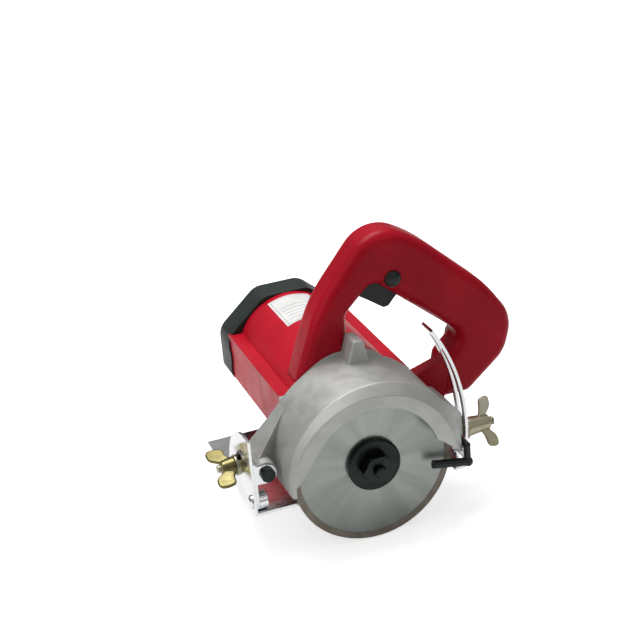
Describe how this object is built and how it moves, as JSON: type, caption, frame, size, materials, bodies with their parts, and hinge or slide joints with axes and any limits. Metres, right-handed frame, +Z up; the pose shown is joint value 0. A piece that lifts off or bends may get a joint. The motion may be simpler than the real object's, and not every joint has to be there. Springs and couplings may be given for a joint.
{
  "type": "slab saw",
  "caption": "Hand-held electric saw for stone slabs and tiles: diamond disc under a cast guard, D handle, motor barrel, tilting base plate with depth and bevel locks.",
  "frame": {"origin": "on the blade spindle's axis, in the middle plane of the blade", "axes": "+Z up; +Y from the blade towards the motor's tail; -X the direction of cut, so the handle leans towards +X"},
  "size_m": [0.2197, 0.195, 0.1938],
  "materials": {
    "crimson_plastic": "smooth, deep crimson",
    "red_plastic": "moulded, semi-gloss",
    "dark_plastic": "fine moulded texture",
    "black_plastic": "satin",
    "cast_aluminium": "as die-cast, satin",
    "blade_steel": "dull grey-green",
    "sintered_rim": "gritty",
    "black_oxide": "blackened, oily",
    "machined_steel": "turned",
    "zinc_plate": "zinc plated",
    "screw_steel": "plated",
    "chrome_plate": "bright plated pressing",
    "lamination_steel": "stacked sheets",
    "copper": "varnished windings and bars",
    "carbon": "graphite",
    "spring_steel": "drawn wire",
    "white_plastic": "moulded",
    "plate_foil": "blank printed foil",
    "cord_rubber": "matte"
  },
  "bodies": {
    "casing": {"gear_housing": "cast_aluminium", "bearing_retainer": "cast_aluminium", "retainer_screws": "screw_steel", "spindle_front_bearing": "machined_steel", "spindle_rear_bearing": "machined_steel", "armature_front_bearing": "machined_steel", "armature_rear_bearing": "machined_steel", "motor_housing": "red_plastic", "motor_housing_screws": "screw_steel", "stator_core": "lamination_steel", "field_coils": "copper", "fan_baffle": "black_plastic", "brush_holders": "black_plastic", "carbon_brushes": "carbon", "brush_springs": "spring_steel", "rear_cover": "dark_plastic", "rear_cover_screws": "screw_steel", "rating_plate": "plate_foil", "handle_front_half": "crimson_plastic", "handle_rear_half": "crimson_plastic", "handle_screws": "screw_steel", "switch_body": "black_plastic", "trigger_pin": "machined_steel", "trigger_spring": "spring_steel", "lock_button_spring": "spring_steel", "cord_guard": "cord_rubber", "power_cord": "cord_rubber", "water_nozzle": "black_plastic", "water_inlet": "zinc_plate", "depth_pivot_screw": "black_oxide", "depth_lock_bolt": "zinc_plate", "depth_lock_washer": "zinc_plate"},
    "spindle": {"spindle": "black_oxide", "spindle_gear": "machined_steel", "inner_flange": "machined_steel", "blade_core": "blade_steel", "diamond_rim": "sintered_rim", "outer_flange": "black_oxide", "blade_nut": "black_oxide"},
    "armature": {"armature_shaft": "machined_steel", "motor_pinion": "machined_steel", "armature_core": "lamination_steel", "armature_windings": "copper", "commutator": "copper", "cooling_fan": "white_plastic"},
    "trigger": {"trigger": "black_plastic"},
    "lock_button": {"lock_button": "black_plastic"},
    "depth_frame": {"depth_bracket": "chrome_plate", "depth_guide_arc": "chrome_plate", "bevel_front_rivet": "chrome_plate", "bevel_rear_rivet": "chrome_plate", "bevel_bolt": "zinc_plate", "bevel_washer": "zinc_plate"},
    "base": {"base_plate": "chrome_plate"},
    "bevel_nut": {"bevel_wing_nut": "zinc_plate"},
    "depth_nut": {"depth_lock_wing_nut": "zinc_plate"}
  },
  "joints": [
    {"name": "blade_spin", "type": "hinge", "parent": "casing", "child": "spindle", "pos_m": [0, 0, 0], "axis": [0, 1, 0], "continuous": true},
    {"name": "armature_spin", "type": "hinge", "parent": "casing", "child": "armature", "pos_m": [0, 0, 0.024], "axis": [0, 1, 0], "continuous": true},
    {"name": "trigger_pull", "type": "hinge", "parent": "casing", "child": "trigger", "pos_m": [0.015, 0.0535, 0.104], "axis": [0, -1, 0], "range_deg": [0, 8], "stiffness_Nm_per_rad": 0.3, "springref_deg": -2.86, "deforming": ["trigger_spring"]},
    {"name": "lock_button_press", "type": "slide", "parent": "casing", "child": "lock_button", "axis": [0, 1, 0], "range_m": [0, 0.0028], "stiffness_N_per_m": 300, "springref_m": -0.001, "deforming": ["lock_button_spring"]},
    {"name": "depth_swing", "type": "hinge", "parent": "casing", "child": "depth_frame", "pos_m": [-0.069, 0.008, 0.007], "axis": [0, 1, 0], "range_deg": [0, 28]},
    {"name": "bevel_tilt", "type": "hinge", "parent": "depth_frame", "child": "base", "pos_m": [-0.078, 0.012, -0.013], "axis": [-1, 0, 0], "range_deg": [0, 45]},
    {"name": "bevel_nut_turn", "type": "hinge", "parent": "depth_frame", "child": "bevel_nut", "pos_m": [-0.085, 0.0401, 0.0001], "axis": [-1, 0, 0], "range_deg": [0, 360]},
    {"name": "depth_nut_turn", "type": "hinge", "parent": "casing", "child": "depth_nut", "pos_m": [0.075, 0.01175, 0.001], "axis": [1, 0, 0], "range_deg": [0, 360]}
  ],
  "couplings": [
    {"joint": "armature_spin", "follows": "blade_spin", "ratio": -2.2}
  ]
}
